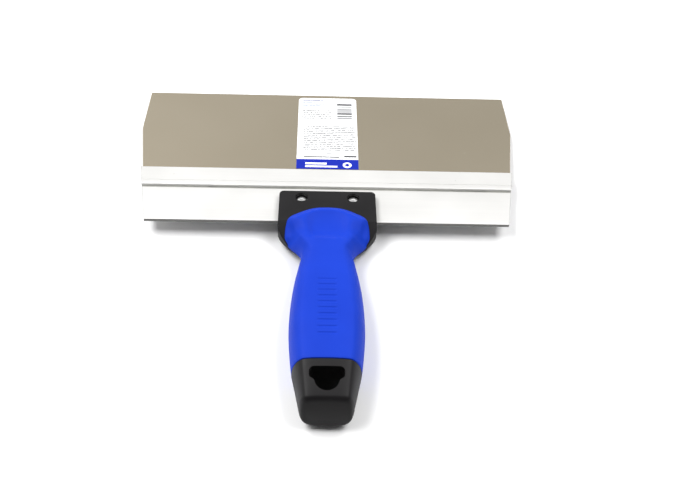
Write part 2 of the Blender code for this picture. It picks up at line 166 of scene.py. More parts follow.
# head of the handle
HEAD_FRONT = 112.3
HEAD_HALF = 29.85
HEAD_CORNER = 3.0
HEAD_CORNER_STEPS = 14
SHOULDER_STEP = 0.7
HEAD_AHEAD = 6.0
HEAD_OVERRUN = 2.0
HEAD_ROUND = 0.9
HEAD_ROUND_STEPS = 4
HEAD_ROUND_ANGLE = 40.0
HEAD_SLANT = 45.0
SLANT_SHARE = 0.4
SLANT_LIFT = 0.3
HEAD_TOP = 4.4
HEAD_LOW_FRONT = 5.2
HEAD_LOW_REAR = 4.5
HEAD_REAR = 160.4
HEAD_REAR_TOP = 6.2
SHOULDER_TOP_AT = 141.0
SHOULDER_LOW_AT = 156.5
SHOULDER = (
    (144.0, 29.85),
    (147.6, 28.5),
    (151.2, 26.1),
    (154.5, 23.4),
    (157.7, 19.6),
    (160.4, 16.7),
)
RIVET_X = 16.0
RIVET_BACK = 119.1
RIVET_HOLE = 2.3
COUNTERBORE = 3.85
SEAT_TOP = 1.4
SEAT_LOW = -2.65
CUT_REACH = 12.0
CUT_SIDES = 60
WEB_SLOT_AHEAD = 8.0
CORE_SMOOTH = 27.0

# a rivet's (radius, height) over its upper seat, and under its lower one
RIVET_HEAD = (
    (0.02, 0.62),
    (0.5, 0.62),
    (0.8, 0.7),
    (1.3, 0.78),
    (2.0, 0.68),
    (2.6, 0.52),
    (3.05, 0.34),
    (3.3, 0.2),
    (3.4, 0.1),
    (3.36, 0.0),
    (2.0, 0.0),
)
RIVET_TAIL = (
    (2.0, 0.0),
    (3.0, 0.0),
    (3.1, -0.1),
    (3.1, -0.5),
    (2.9, -0.78),
    (2.3, -1.0),
    (1.2, -1.0),
    (0.8, -0.6),
    (0.02, -0.6),
)
RIVET_SIDES = 48
RIVET_SMOOTH = 40.0

# handle sections: back, half width, height of the widest line, top, bottom,
# half width of the flat crown, squareness above and below
SECTIONS = (
    (122.0, 27.0, 14.4, 16.6, 8.0, 0.0, 4.6, 3.0),
    (130.0, 27.0, 14.6, 17.7, 8.0, 0.0, 4.6, 3.0),
    (134.0, 26.4, 14.7, 18.4, 8.0, 6.0, 4.0, 3.0),
    (138.0, 25.2, 14.6, 19.0, 8.0, 17.0, 2.2, 3.0),
    (141.0, 25.0, 14.4, 19.4, 7.4, 19.0, 1.5, 3.0),
    (145.0, 25.8, 12.9, 19.9, 6.4, 18.4, 1.1, 3.0),
    (148.0, 26.05, 11.1, 20.3, 5.6, 16.8, 1.1, 2.8),
    (151.0, 25.8, 9.5, 20.7, 5.2, 15.2, 1.1, 2.6),
    (154.0, 24.0, 8.1, 21.1, 4.9, 13.7, 1.1, 2.5),
    (157.0, 21.9, 7.9, 21.4, 4.8, 12.2, 1.2, 2.5),
    (160.0, 19.1, 8.3, 21.7, 4.6, 10.8, 1.35, 2.5),
    (163.0, 17.0, 9.1, 22.0, 4.5, 9.2, 1.55, 2.5),
    (166.0, 15.7, 10.2, 22.4, 4.4, 7.2, 1.75, 2.5),
    (169.0, 15.3, 11.3, 22.8, 4.2, 6.0, 1.95, 2.5),
    (173.0, 15.9, 12.0, 23.2, 3.9, 5.6, 2.05, 2.5),
    (180.0, 17.1, 12.4, 24.0, 3.3, 6.2, 2.1, 2.5),
    (190.0, 18.7, 12.8, 25.1, 2.4, 7.6, 2.1, 2.5),
    (200.0, 19.85, 13.1, 26.1, 1.7, 8.6, 2.1, 2.6),
    (212.0, 20.65, 13.3, 26.9, 1.1, 9.3, 2.1, 2.6),
    (225.0, 20.85, 13.0, 27.2, 0.7, 9.7, 2.1, 2.7),
    (238.0, 20.05, 12.2, 26.9, 0.5, 9.6, 2.05, 2.8),
    (250.0, 18.65, 11.2, 26.1, 0.3, 9.3, 2.0, 2.9),
    (258.0, 17.0, 10.8, 24.9, 0.1, 9.0, 2.1, 2.8),
    (266.0, 15.4, 10.4, 23.45, 0.0, 8.6, 2.2, 2.6),
    (270.0, 14.6, 10.2, 22.5, 0.0, 8.4, 2.3, 2.5),
)
# the butt's end leans back as it closes: the last column is that lean
BUTT_END = (
    (270.73, 14.5, 10.2, 22.38, 0.05, 8.38, 2.3, 2.5, 0.03),
    (271.47, 14.32, 10.2, 22.2, 0.15, 8.32, 2.3, 2.55, 0.06),
    (272.2, 14.12, 10.2, 21.92, 0.4, 8.25, 2.3, 2.6, 0.09),
    (272.91, 13.9, 10.2, 21.55, 0.8, 8.15, 2.3, 2.6, 0.12),
    (273.59, 13.66, 10.2, 21.1, 1.3, 8.05, 2.3, 2.6, 0.15),
    (274.16, 13.4, 10.2, 20.55, 1.9, 7.95, 2.3, 2.65, 0.18),
    (274.68, 13.1, 10.2, 19.85, 2.6, 7.8, 2.3, 2.65, 0.21),
    (275.04, 12.75, 10.2, 19.1, 3.4, 7.6, 2.3, 2.7, 0.235),
    (275.26, 12.35, 10.2, 18.3, 4.1, 7.35, 2.3, 2.7, 0.252),
    (275.49, 11.9, 10.2, 17.4, 4.8, 7.1, 2.3, 2.7, 0.262),
)
CROWN_EASE = 0.42
COLLAR_EASE = 0.12
COLLAR_MIDDLE = 150.0
COLLAR_REACH = (8.0, 18.0)
JOINT_BACK = 249.8
JOINT_GAP = 0.3
WALL = 3.1

# eased lips where sleeve and butt meet: (distance from the joint, inset)
BUTT_LIP = ((0.0, 0.5), (0.1, 0.2), (0.35, 0.0))
BUTT_RINGS_FROM = 1.2
BUTT_STEP = 1.3
GRIP_LIP = ((-0.15, 0.15), (0.0, 0.45))
GRIP_STEP = 1.4
GRIP_END_STEP = 0.5
COLLAR_STEP = 0.8

# the collar's front edge: across, back
COLLAR_EDGE = (
    (0.0, 129.9),
    (6.0, 130.3),
    (12.0, 131.7),
    (18.4, 134.7),
    (22.0, 136.9),
    (23.3, 138.6),
    (24.3, 141.0),
    (25.3, 143.8),
    (25.95, 147.0),
    (26.2, 152.0),
)
COLLAR_SIDES = ((26.2, 153.0), (35.0, 162.0), (35.0, 260.0))
COLLAR_EDGE_STEP = 0.6
DISH_BACK = 151.6
DISH_R = 17.8
DISH_SLOPE = 0.48
DISH_BEND = 0.0165
DISH_BANK = 15.0
DISH_HALF = (8.0, 17.0)
DISH_FADE = (151.0, 162.0)
RIM_SLOPE = 0.55
RIM_FOOT = 1.4
RIM_FOOT_SIDE = 0.1
RIM_HALF = (4.0, 24.0)
SCOOP_X = 19.5
SCOOP_BACK = 149.5
SCOOP_REACH = 9.5
SCOOP_DEPTH = 2.8
SCOOP_HALF = (21.5, 26.0)
RIBS = 10
RIB_FIRST = 195.6
RIB_PITCH = 4.3
RIB_HALF_LENGTH = 4.6
RIB_HALF_WIDTH = 0.75
RIB_DEPTH = 0.3
RIB_END = 0.8
RIB_ROUND = 0.7
RIB_RINGS = (-1.0, -0.8, -0.4, 0.0, 0.4, 0.8, 1.0)
RIB_BETWEEN = (0.37, 0.63)
RIB_CLEAR = 2.0
SPINE_FRONT = 146.0
SPINE_REAR = 251.5
SPINE_STEP = 4.0
SPINE_HALF = 16.2
SPINE_MIDDLE = 11.0
SPINE_DROP = 1.0
SPINE_LIFT = 0.4
SPINE_SQUARE = (2.2, 2.4)

# hang hole
HOLE_FRONT = 254.5
HOLE_STEP = 261.3
HOLE_HALF = 9.3
HOLE_CORNER = 2.6
NOTCH_R = 6.5
NOTCH_FILLET = 1.6
HOLE_CORNER_STEPS = 10
FILLET_STEPS = 6
NOTCH_STEPS = 18

# fineness of the meshes, and how far helper solids reach past the tool;
# WELD and SLIVER are in metres
RING_STEPS = 168
OUTLINE_STEPS = 720
SMOOTH = 35.0
WELD = 0.000004
SLIVER = 0.000002
TINY = 1e-9
ON_AXIS = 1e-6
HIGH = 40.0
BENEATH = -5.0
WIDE = 40.0
FAR_SIDE = 60.0

# camera, light and floor: the camera's place in millimetres, the rest in metres
CAMERA_PLACE = (-7.06, -401.76, 420.66)
CAMERA_DOWN = 46.509
CAMERA_YAW = -2.169
CAMERA_ROLL = 2.507
CAMERA_CLIP = (0.01, 60.0)
LENS = 50.0
SENSOR = 36.0
BOX_OFFSET = 0.85
BOX_BACK = 0.3
BOX_HEIGHT = 1.35
BOX_AIM = (0, 0.1, 0)
BOX_SIZE = (0.7, 1.5)
BOX_LEFT_WATTS = 27.0
BOX_RIGHT_WATTS = 21.5
ROOM_NEAR = 0.11
ROOM_FAR = 0.70
ROOM_SPAN = (-0.7, 0.8)
ROOM_SIDE = -0.5
FLOOR_RADIUS = 12.0
FLOOR_SIDES = 64
FLOOR_DROP = 0.0002

# paint
NOISE_SPAN = (0.3, 0.7)
DASH_HEIGHT = 0.55
DASH_SCALE = 1.9
ROW_SHIFT = 7.3
BLUE_FROM = 75.1
RING_PLACE = (12.9, 81.0)
RING_OUTER = 2.9
RING_INNER = 1.4
GRAIN_ROUGH = (-0.03, 0.05)
# warmth of the painted shade on the rail's groove and cut edges
SHADE_WARMTH = 0.95
STRIPES = (  # from and to, behind the working edge
    (10.2, 12.3),
    (13.9, 14.6),
    (16.9, 17.2),
    (21.6, 23.4),
    (25.0, 26.2),
    (27.9, 28.3),
)


# ---------------------------------------------------------------- shapes


def blade_point(x, along, rise):
    """A point given in the blade's plane, in millimetres of the scene."""
    return Vector(
        (
            x,
            MOUTH.y + along * math.cos(TILT) + rise * math.sin(TILT),
            MOUTH.z - along * math.sin(TILT) + rise * math.cos(TILT),
        )
    )


def in_plane(point):
    """How far along the blade's plane, and how far over it, a scene point lies."""
    y = point.y - MOUTH.y
    z = point.z - MOUTH.z
    along = y * math.cos(TILT) - z * math.sin(TILT)
    rise = y * math.sin(TILT) + z * math.cos(TILT)
    return along, rise


def make_object(name, points, faces, paint, smooth_deg):
    """A new mesh object from points in millimetres, welded and with its normals out."""
    mesh = bpy.data.meshes.new(name)
    mesh.from_pydata([tuple(c * MM for c in p) for p in points], [], faces)
    tidy = bmesh.new()
    tidy.from_mesh(mesh)
    bmesh.ops.remove_doubles(tidy, verts=tidy.verts[:], dist=WELD)
    bmesh.ops.dissolve_degenerate(tidy, edges=tidy.edges[:], dist=SLIVER)
    bmesh.ops.recalc_face_normals(tidy, faces=tidy.faces[:])
    tidy.to_mesh(mesh)
    tidy.free()
    made = bpy.data.objects.new(name, mesh)
    bpy.context.scene.collection.objects.link(made)
    if paint:
        mesh.materials.append(paint)
    soften(made, smooth_deg)
    return made


def soften(thing, angle_deg=SMOOTH):
    """Shades smooth, but keeps edges sharper than the angle."""
    thing.data.shade_smooth()
    thing.data.set_sharp_from_angle(angle=math.radians(angle_deg))


def bake(thing):
    """Turns an object's modifiers into plain mesh."""
    graph = bpy.context.evaluated_depsgraph_get()
    graph.update()
    fresh = bpy.data.meshes.new_from_object(thing.evaluated_get(graph))
    old = thing.data
    thing.modifiers.clear()
    thing.data = fresh
    bpy.data.meshes.remove(old)
    fresh.name = thing.name


def combine(target, tool, operation="DIFFERENCE"):
    """Cuts or joins with a helper solid, and removes the helper."""
    step = target.modifiers.new(operation.lower(), "BOOLEAN")
    step.operation = operation
    step.solver = "EXACT"
    step.object = tool
    bake(target)
    bpy.data.objects.remove(tool)


def bevel(thing, width, segments, angle_deg):
    """Rounds the edges sharper than the angle."""
    edge = thing.modifiers.new("edges", "BEVEL")
    edge.width = width * MM
    edge.segments = segments
    edge.limit_method = "ANGLE"
    edge.angle_limit = math.radians(angle_deg)
    bake(thing)


def tube_faces(count, size):
    """Faces of a tube of `count` rings of `size` points, closed at both ends."""
    faces = [tuple(range(size)), tuple(range(count * size - 1, (count - 1) * size - 1, -1))]
    for i in range(count - 1):
        for k in range(size):
            a = i * size + k
            b = i * size + (k + 1) % size
            faces.append((a, b, b + size, a + size))
    return faces


def tube(name, rings, paint=None, smooth_deg=SMOOTH):
    """A closed solid through rings of points."""
    points = [p for r in rings for p in r]
    faces = tube_faces(len(rings), len(rings[0]))
    return make_object(name, points, faces, paint, smooth_deg)


def prism(name, outline, low, high, place=None):
    """A straight prism; place turns (x, y, z) into scene millimetres."""
    place = place or (lambda x, y, z: (x, y, z))
    rings = [[place(x, y, z) for x, y in outline] for z in (low, high)]
    return tube(name, rings)


def arc(cx, cy, r, start_deg, end_deg, steps):
    """Points along an arc, both ends included."""
    turns = [start_deg + (end_deg - start_deg) * k / steps for k in range(steps + 1)]
    return [
        (cx + r * math.cos(math.radians(t)), cy + r * math.sin(math.radians(t)))
        for t in turns
    ]


def circle(cx, cy, r, count):
    """Points round a full circle."""
    return arc(cx, cy, r, 0.0, 360.0 - 360.0 / count, count - 1)


def mirrored(right_side):
    """A closed outline from its right half."""
    left_side = [(-x, y) for x, y in reversed(right_side) if abs(x) > ON_AXIS]
    return right_side + left_side


def eased(rows, at):
    """Every column of a table at one value of its first, eased between rows."""
    if at <= rows[0][0]:
        return rows[0][1:]
    if at >= rows[-1][0]:
        return rows[-1][1:]
    k = max(i for i in range(len(rows) - 1) if rows[i][0] <= at)
    a, b = rows[k], rows[k + 1]
    before = rows[k - 1] if k else a
    after = rows[k + 2] if k + 2 < len(rows) else b
    span = b[0] - a[0]
    u = (at - a[0]) / span
    out = []
    for c in range(1, len(a)):
        # cubic Hermite, with each row's slope taken from its neighbours
        m0 = (b[c] - before[c]) / max(b[0] - before[0], TINY) * span
        m1 = (after[c] - a[c]) / max(after[0] - a[0], TINY) * span
        out.append(
            a[c] * (2 * u**3 - 3 * u**2 + 1)
            + m0 * (u**3 - 2 * u**2 + u)
            + b[c] * (3 * u**2 - 2 * u**3)
            + m1 * (u**3 - u**2)
        )
    return out


def stations(start, end, step):
    """Even stops from start to end, about a step apart, both ends included."""
    count = max(1, round((end - start) / step))
    return [start + (end - start) * k / count for k in range(count + 1)]


def plane_height(back):
    """Height of the blade's plane over the table at a distance behind its edge."""
    return BLADE_HALF_THICK * math.cos(TILT) + back * math.tan(TILT)


# ---------------------------------------------------------------- materials


class Paint:
    """A material with its Principled shader and short ways to add nodes."""

    def __init__(self, name, **fixed):
        self.material = bpy.data.materials.new(name)
        self.material.use_nodes = True
        self.tree = self.material.node_tree
        self.shader = self.tree.nodes["Principled BSDF"]
        for socket, value in fixed.items():
            self.shader.inputs[socket.replace("_", " ")].default_value = value

    def node(self, kind, **settings):
        """Adds a node with its settings."""
        made = self.tree.nodes.new(kind)
        for key, value in settings.items():
            setattr(made, key, value)
        return made

    def feed(self, value, socket):
        """Links an output to a socket, or sets a plain value on it."""
        if isinstance(value, bpy.types.NodeSocket):
            self.tree.links.new(value, socket)
        else:
            socket.default_value = value

    def math(self, operation, a, b=0.0):
        made = self.node("ShaderNodeMath", operation=operation)
        self.feed(a, made.inputs[0])
        self.feed(b, made.inputs[1])
        return made.outputs[0]

    def scaled(self, vector, stretch):
        scale = self.node("ShaderNodeMapping")
        scale.inputs["Scale"].default_value = stretch
        self.feed(vector, scale.inputs["Vector"])
        return scale.outputs[0]

    def coords(self, stretch=(1.0, 1.0, 1.0)):
        """Places in the piece's own metres."""
        return self.scaled(self.node("ShaderNodeTexCoord").outputs["Object"], stretch)

    def sheet_coords(self, stretch=(1.0, 1.0, 1.0)):
        """Places on the blade's sheet, which stay put as it bends."""
        return self.scaled(self.node("ShaderNodeUVMap", uv_map="sheet").outputs[0], stretch)

    def noise(self, vector, scale, detail=3.0, rough=0.55):
        made = self.node("ShaderNodeTexNoise")
        self.feed(vector, made.inputs["Vector"])
        made.inputs["Scale"].default_value = scale
        made.inputs["Detail"].default_value = detail
        made.inputs["Roughness"].default_value = rough
        return made.outputs["Fac"]

    def spread(self, value, low, high):
        """Maps the usual span of a noise to low..high."""
        made = self.node("ShaderNodeMapRange")
        self.feed(value, made.inputs["Value"])
        made.inputs["From Min"].default_value = NOISE_SPAN[0]
        made.inputs["From Max"].default_value = NOISE_SPAN[1]
        made.inputs["To Min"].default_value = low
        made.inputs["To Max"].default_value = high
        return made.outputs["Result"]

    def blend(self, factor, a, b):
        """Mixes two colours, which are sockets 6 and 7 and output 2 of a Mix node."""
        made = self.node("ShaderNodeMix", data_type="RGBA")
        self.feed(factor, made.inputs[0])
        for value, socket in zip((a, b), made.inputs[6:8]):
            self.feed((*value, 1.0) if isinstance(value, tuple) else value, socket)
        return made.outputs[2]

    def bump(self, height, strength, distance_mm):
        made = self.node("ShaderNodeBump")
        self.feed(height, made.inputs["Height"])
        made.inputs["Strength"].default_value = strength
        made.inputs["Distance"].default_value = distance_mm * MM
        return made.outputs[0]

    def finish(self, **sockets):
        """Feeds the shader and gives the material."""
        for socket, value in sockets.items():
            self.feed(value, self.shader.inputs[socket.replace("_", " ")])
        return self.material


def steel_paint():
    """Rolled steel: a faint sheen, fine lines across and a finer grain."""
    p = Paint("spring_steel", Metallic=1.0)
    sheen = p.noise(p.sheet_coords(), scale=0.9, detail=2.0)
    lines = p.noise(p.sheet_coords((2.6, 110.0, 1.0)), scale=1.0, detail=3.0, rough=0.6)
    grain = p.noise(p.sheet_coords(), scale=90.0, detail=2.0)
    tone = p.blend(p.spread(sheen, 0.0, 1.0), (0.53, 0.467, 0.35), (0.565, 0.50, 0.383))
    tone = p.blend(p.spread(lines, 0.0, 0.1), tone, (0.46, 0.405, 0.305))
    rough = p.math("ADD", p.spread(lines, 0.20, 0.25), p.spread(grain, 0.0, 0.03))
    relief = p.bump(lines, strength=0.03, distance_mm=0.01)
    return p.finish(Base_Color=tone, Roughness=rough, Normal=relief)


def aluminium_paint():
    """Satin extrusion: drawn lines along the rail, a faint cloud and a fine grain."""
    p = Paint("anodised_aluminium", Metallic=0.45)
    lines = p.noise(p.coords((6.0, 700.0, 700.0)), scale=1.0, detail=4.0, rough=0.65)
    cloud = p.noise(p.coords(), scale=22.0)
    grain = p.noise(p.coords(), scale=1500.0, detail=2.0)
    tone = p.blend(p.spread(cloud, 0.0, 1.0), (0.665, 0.66, 0.643), (0.71, 0.705, 0.69))
    tone = p.blend(p.spread(lines, 0.0, 0.2), tone, (0.59, 0.59, 0.575))
    rough = p.math("ADD", p.spread(cloud, 0.36, 0.44), p.spread(grain, 0.0, 0.06))
    relief = p.bump(lines, strength=0.1, distance_mm=0.02)
    return p.finish(Base_Color=tone, Roughness=rough, Normal=relief)


def painted_shade_paint(name, dark, light):
    """Painted shade on the extrusion: darker, duller metal for the faces of its groove and for
    its cut edges, which lie in shade.
    """
    p = Paint(name, Metallic=0.3)
    mottle = p.noise(p.coords((0.25, 1.0, 1.0)), scale=260.0, detail=4.0, rough=0.7)
    tones = [(level, level, level * SHADE_WARMTH) for level in (dark, light)]
    tone = p.blend(p.spread(mottle, 0.0, 1.0), *tones)
    return p.finish(Base_Color=tone, Roughness=p.spread(mottle, 0.5, 0.7))


def moulded_paint(name, specular, cloud_scale, grain_scale, tones, rough, relief):
    """A moulded surface: slightly uneven in tone, with a fine matt grain."""
    p = Paint(name, Specular_IOR_Level=specular)
    cloud = p.noise(p.coords(), cloud_scale)
    grain = p.noise(p.coords(), grain_scale)
    tone = p.blend(p.spread(cloud, 0.0, 1.0), *tones)
    level = p.math("ADD", p.spread(cloud, *rough), p.spread(grain, *GRAIN_ROUGH))
    return p.finish(Base_Color=tone, Roughness=level, Normal=p.bump(grain, *relief))


def plastic_paint():
    return moulded_paint(
        "black_plastic",
        specular=0.2,
        cloud_scale=30.0,
        grain_scale=1800.0,
        tones=((0.0042, 0.0037, 0.0044), (0.0074, 0.0067, 0.0073)),
        rough=(0.42, 0.52),
        relief=(0.22, 0.05),
    )


def rubber_paint():
    return moulded_paint(
        "blue_rubber",
        specular=0.09,
        cloud_scale=26.0,
        grain_scale=1500.0,
        tones=((0.0050, 0.0355, 0.425), (0.0068, 0.043, 0.485)),
        rough=(0.50, 0.58),
        relief=(0.25, 0.06),
    )


def rivet_paint():
    """Bright metal with small marks from setting."""
    p = Paint("rivet_steel", Metallic=1.0)
    marks = p.noise(p.coords(), scale=700.0, detail=4.0, rough=0.7)
    tone = p.blend(p.spread(marks, 0.0, 1.0), (0.72, 0.72, 0.72), (0.88, 0.88, 0.87))
    rough = p.spread(marks, 0.24, 0.42)
    relief = p.bump(marks, strength=0.2, distance_mm=0.05)
    return p.finish(Base_Color=tone, Roughness=rough, Normal=relief)


class LabelPaint(Paint):
    """Printing on the film: u is across the blade, v is back from its working edge."""

    def __init__(self):
        super().__init__("label_print", Specular_IOR_Level=0.16)
        place = self.node("ShaderNodeUVMap", uv_map="label")
        split = self.node("ShaderNodeSeparateXYZ")
        self.feed(place.outputs[0], split.inputs[0])
        self.u = self.math("MULTIPLY", split.outputs[0], SHEET_UNIT)
        self.v = self.math("MULTIPLY", split.outputs[1], SHEET_UNIT)

    def within(self, value, low, high):
        """One between the limits, zero outside them."""
        above = self.math("GREATER_THAN", value, low)
        below = self.math("LESS_THAN", value, high)
        return self.math("MULTIPLY", above, below)

    def patch(self, u0, u1, v0, v1):
        """A plain rectangle."""
        return self.math("MULTIPLY", self.within(self.u, u0, u1), self.within(self.v, v0, v1))

    def disc(self, u, v, radius):
        du = self.math("SUBTRACT", self.u, u)
        dv = self.math("SUBTRACT", self.v, v)
        away = self.math("ADD", self.math("MULTIPLY", du, du), self.math("MULTIPLY", dv, dv))
        return self.math("LESS_THAN", away, radius**2)

    def words(self, u0, u1, v0, v1, pitch, cover, seed):
        """Rows of short dashes, as unreadable small print."""
        row = self.math("DIVIDE", self.math("SUBTRACT", self.v, v0), pitch)
        body = self.math("LESS_THAN", self.math("FRACT", row), DASH_HEIGHT)
        join = self.node("ShaderNodeCombineXYZ")
        self.feed(self.u, join.inputs[0])
        self.feed(self.math("MULTIPLY", self.math("FLOOR", row), ROW_SHIFT), join.inputs[1])
        join.inputs[2].default_value = seed
        dash = self.noise(join.outputs[0], DASH_SCALE, 1.0)
        ink = self.math("MULTIPLY", body, self.math("GREATER_THAN", dash, 1.0 - cover))
        return self.math("MULTIPLY", ink, self.patch(u0, u1, v0, v1))

    def stripes(self, u0, u1, v0, v1):
        """Parallel bars of varied weight along the label."""
        total = 0.0
        for low, high in STRIPES:
            total = self.math("ADD", self.within(self.v, low, high), total)
        return self.math("MULTIPLY", total, self.patch(u0, u1, v0, v1))


def label_paint():
    """White film printed with dashes, bars, stripes, a blue band and a ring."""
    p = LabelPaint()
    cloud = p.noise(p.coords(), scale=60.0, detail=2.0)
    tone = p.blend(p.spread(cloud, 0.0, 1.0), (0.84, 0.845, 0.86), (0.88, 0.885, 0.895))
    ink = (0.045, 0.045, 0.05)
    navy = (0.10, 0.11, 0.24)
    link = (0.24, 0.28, 0.62)
    grey = (0.20, 0.20, 0.205)
    pale = (0.42, 0.42, 0.43)
    blue = (0.003, 0.016, 0.33)
    white = (0.90, 0.91, 0.95)
    # words: left, right, start, end, row pitch, share of ink, seed
    # patches and stripes: left, right, start, end; later ones lie on top
    for spot, colour in (
        (p.words(-17.4, -3.2, 5.7, 7.5, 1.8, 0.60, 1.0), navy),
        (p.words(-17.4, -2.6, 8.8, 14.0, 1.75, 0.60, 2.0), link),
        (p.words(-18.4, 2.6, 18.4, 29.8, 2.3, 0.54, 3.0), grey),
        (p.patch(6.7, 17.0, 16.2, 21.4), pale),
        (p.patch(6.7, 17.0, 26.8, 28.8), pale),
        (p.stripes(6.7, 17.0, 9.6, 28.8), ink),
        (p.words(-16.2, 19.2, 37.6, 66.2, 2.05, 0.56, 5.0), grey),
        (p.words(-0.6, 7.6, 68.6, 70.4, 1.8, 0.66, 6.0), grey),
        (p.words(-15.6, 7.8, 72.0, 74.0, 2.0, 0.68, 7.0), ink),
        (p.words(11.0, 19.2, 70.9, 73.9, 3.0, 0.72, 8.0), ink),
        (p.math("GREATER_THAN", p.v, BLUE_FROM), blue),
        (p.patch(-14.5, -0.5, 78.7, 80.7), white),
        (p.patch(-14.5, 6.5, 81.9, 83.6), white),
        (p.disc(*RING_PLACE, RING_OUTER), white),
        (p.disc(*RING_PLACE, RING_INNER), blue),
    ):
        tone = p.blend(spot, tone, colour)
    return p.finish(Base_Color=tone, Roughness=p.spread(cloud, 0.40, 0.48))


def floor_paint():
    """Matt white with a barely visible cloud."""
    p = Paint("pale_floor")
    cloud = p.noise(p.coords(), scale=3.0, detail=2.0)
    tone = p.blend(p.spread(cloud, 0.0, 1.0), (0.90, 0.90, 0.905), (0.915, 0.915, 0.915))
    return p.finish(Base_Color=tone, Roughness=p.spread(cloud, 0.85, 0.95))


# ---------------------------------------------------------------- blade and label


def sheet_mesh(name, paint, rows, low, high, across, chamfer):
    """A thin closed sheet: rows of (along, half width), with eased edges."""
    shares = [-1.0 + 2.0 * k / across for k in range(across + 1)]
    ring_rows = []
    for n, (along, half) in enumerate(rows):
        end = n in (0, len(rows) - 1)
        drop = chamfer if end else 0.0
        top = [blade_point(f * (half - chamfer), along, high - drop) for f in shares]
        low_side = [blade_point(f * (half - chamfer), along, low + drop) for f in shares]
        side_high = high - chamfer - drop * SIDE_CHAMFER
        side_low = low + chamfer + drop * SIDE_CHAMFER
        right = [blade_point(half, along, rise) for rise in (side_high, side_low)]
        left = [blade_point(-half, along, rise) for rise in (side_low, side_high)]
        ring_rows.append(top + right + low_side[::-1] + left)
    return tube(name, ring_rows, paint, SHEET_SMOOTH)


def corner_half(along, half, corner, end):
    """Half width of a sheet with a rounded corner towards its far end."""
    into = along - (end - corner)
    if into <= 0.0:
        return half
    return half - corner + math.sqrt(max(corner**2 - into**2, 0.0))


def make_blade(paint):
    places = [-TUCKED_LENGTH, -TUCKED_LENGTH + BLADE_CHAMFER, -TUCKED_MIDDLE]
    places += stations(0.0, EAR_AT, BLADE_STEP)
    places += stations(EAR_AT, FREE_LENGTH - BLADE_CHAMFER, BLADE_STEP)[1:]
    places.append(FREE_LENGTH)
    rows = []
    for along in places:
        for (a0, h0), (a1, h1) in zip(BLADE_OUTLINE, BLADE_OUTLINE[1:]):
            if a0 <= along <= a1:
                half = h0 + (h1 - h0) * (along - a0) / (a1 - a0)
        rows.append((along, half))
    faces_at = (-BLADE_HALF_THICK, BLADE_HALF_THICK)
    blade = sheet_mesh("blade_sheet", paint, rows, *faces_at, BLADE_ACROSS, BLADE_CHAMFER)
    map_sheet(blade, "sheet")
    return blade


def map_sheet(sheet, name):
    """Maps a sheet by its place: across, and back from the working edge."""
    flat = math.cos(TILT)
    layer = sheet.data.uv_layers.new(name=name)
    for loop in sheet.data.loops:
        co = sheet.data.vertices[loop.vertex_index].co / MM
        from_edge = FREE_LENGTH - (co.y - MOUTH.y) / flat
        layer.data[loop.index].uv = (co.x / SHEET_UNIT, from_edge / SHEET_UNIT)


def make_label(paint):
    corner_at = LABEL_FAR - LABEL_CORNER
    places = stations(LABEL_NEAR, corner_at, LABEL_STEP)
    for turn in CORNER_TURNS:
        places.append(corner_at + LABEL_CORNER * math.sin(math.radians(turn)))
    rows = [(a, corner_half(a, LABEL_HALF, LABEL_CORNER, LABEL_FAR)) for a in places]
    faces_at = (LABEL_LOW, LABEL_LOW + LABEL_THICK)
    label = sheet_mesh("label_film", paint, rows, *faces_at, LABEL_ACROSS, LABEL_CHAMFER)
    map_sheet(label, "label")
    return label


# ---------------------------------------------------------------- rail


def shifted(stretch, back, rise):
    """A stretch of the rail's section, set down at one place."""
    return [(back + b, rise + r) for b, r in stretch]


def rail_profile():
    """The extrusion's section as (back from its lip, rise above the blade)."""
    slope = (FRONT_TOP - LIP_TOP) / FRONT_RUN
    profile = [(0.0, SLOT_HALF + SLOT_EASE), *shifted(LIP_ROUND, 0.0, LIP_TOP)]
    for back in stations(*FRONT_POINTS):
        profile.append((back, LIP_TOP + LIP_RISE + slope * (back - LIP_RUN)))
    profile += shifted(BAND_ROUND, BAND_START, CREST)
    profile += shifted(STEP_ROUND, STEP_AT, CREST)
    profile.append((STEP_AT, GROOVE_SHADE_TOP + GROOVE_SHADE_MARGIN))
    profile += shifted(GROOVE, STEP_AT, WEB_TOP)
    profile += [(back, WEB_TOP) for back in stations(*WEB_POINTS)]
    profile += shifted(REAR_TOP_ROUND, RAIL_DEPTH, WEB_TOP)
    profile += shifted(REAR_LOW_ROUND, RAIL_DEPTH, RAIL_LOW)
    profile += [(back, RAIL_LOW) for back in stations(*UNDER_POINTS)]
    profile += shifted(MOUTH_ROUND, 0.0, RAIL_LOW)
    profile += [
        (0.0, -SLOT_HALF - SLOT_EASE),
        (SLOT_LEAD, -SLOT_HALF),
        (SLOT_DEPTH, -SLOT_HALF),
        (SLOT_DEPTH, SLOT_HALF),
        (SLOT_LEAD, SLOT_HALF),
    ]
    return profile


def rail_ring(profile, share, is_end):
    """The section at one share of the half width: the ends' own rings are smaller."""
    ring = []
    for back, rise in profile:
        half = RAIL_FRONT_HALF - RAIL_TAPER * back
        in_slot = abs(rise) <= SLOT_HALF + SLOT_MARGIN and back <= SLOT_DEPTH
        if is_end and not in_slot:
            rise += RAIL_CHAMFER if rise < RAIL_MIDDLE else -RAIL_CHAMFER
        wide = half if is_end else half - RAIL_CHAMFER
        ring.append(blade_point(share * wide, -back, rise))
    return ring


